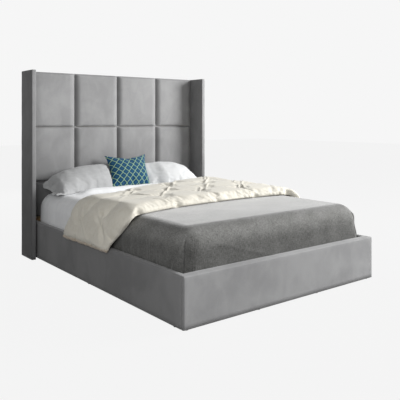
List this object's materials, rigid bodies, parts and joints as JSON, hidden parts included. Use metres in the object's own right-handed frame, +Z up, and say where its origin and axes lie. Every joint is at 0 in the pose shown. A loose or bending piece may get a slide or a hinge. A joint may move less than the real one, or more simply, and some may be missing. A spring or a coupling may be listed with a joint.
{
  "type": "wingback bed",
  "caption": "Upholstered wingback bed with tall padded headboard, low padded rails, slatted base, mattress and bedding.",
  "frame": {"origin": "on the floor under the middle of the bed's overall box", "axes": "+Z up, +Y along the bed from the foot end to the headboard, +X across the bed"},
  "size_m": [1.7, 2.124, 1.465],
  "materials": {
    "velvet": "mid grey velvet with a soft nap, brushed both ways",
    "timber": "planed pine, unfinished",
    "board": "board with raw edges",
    "slat_birch": "birch slats with eased edges",
    "bracket_steel": "black powder coat",
    "zinc_steel": "zinc plated",
    "glide_plastic": "moulded black plastic",
    "back_cloth": "thin dark spun cloth",
    "mattress_ticking": "white knitted ticking",
    "white_cotton": "smooth white cotton",
    "grey_blanket": "heathered grey weave with slubs",
    "cream_duvet": "cream cotton with gathered pintucks",
    "lattice_cushion": "blue woven cloth with pale green lattice lines"
  },
  "bodies": {
    "bed": {"blanket": "grey_blanket", "bracket_bolts": "zinc_steel", "centre_beam": "timber", "centre_leg_1": "timber", "centre_leg_2": "timber", "centre_leg_3": "timber", "cushion": "lattice_cushion", "duvet": "cream_duvet", "fitted_sheet": "white_cotton", "floor_glides": "glide_plastic", "foot_beam_hanger": "bracket_steel", "foot_board": "board", "foot_cover": "velvet", "head_beam_hanger": "bracket_steel", "headboard_back_cover": "back_cloth", "headboard_backing_board": "board", "headboard_bottom_rail": "timber", "headboard_centre_stile": "timber", "headboard_edge_cover": "velvet", "headboard_lower_rails": "timber", "headboard_middle_rails": "timber", "headboard_top_rail": "timber", "ledge_screws": "zinc_steel", "left_foot_corner_bracket": "bracket_steel", "left_head_corner_bracket": "bracket_steel", "left_headboard_stile": "timber", "left_pillow": "white_cotton", "left_rail_board": "board", "left_rail_cover": "velvet", "left_slat_ledge": "timber", "left_wing_board": "board", "left_wing_cover": "velvet", "lower_pad": "velvet", "mattress": "mattress_ticking", "middle_pad_1": "velvet", "middle_pad_2": "velvet", "middle_pad_3": "velvet", "middle_pad_4": "velvet", "right_foot_corner_bracket": "bracket_steel", "right_head_corner_bracket": "bracket_steel", "right_headboard_stile": "timber", "right_pillow": "white_cotton", "right_rail_board": "board", "right_rail_cover": "velvet", "right_slat_ledge": "timber", "right_wing_board": "board", "right_wing_cover": "velvet", "slat_screws": "zinc_steel", "slats": "slat_birch", "top_sheet": "white_cotton", "upper_pad_1": "velvet", "upper_pad_2": "velvet", "upper_pad_3": "velvet", "upper_pad_4": "velvet", "wing_bolts": "zinc_steel", "wing_glides": "glide_plastic", "wing_insert_nuts": "zinc_steel"},
    "levelling_foot_1": {"levelling_foot_1": "zinc_steel"},
    "levelling_foot_2": {"levelling_foot_2": "zinc_steel"},
    "levelling_foot_3": {"levelling_foot_3": "zinc_steel"}
  },
  "joints": [
    {"name": "levelling_foot_1_screw", "type": "slide", "parent": "bed", "child": "levelling_foot_1", "axis": [0, 0, -1], "range_m": [0, 0.015]},
    {"name": "levelling_foot_2_screw", "type": "slide", "parent": "bed", "child": "levelling_foot_2", "axis": [0, 0, -1], "range_m": [0, 0.015]},
    {"name": "levelling_foot_3_screw", "type": "slide", "parent": "bed", "child": "levelling_foot_3", "axis": [0, 0, -1], "range_m": [0, 0.015]}
  ]
}
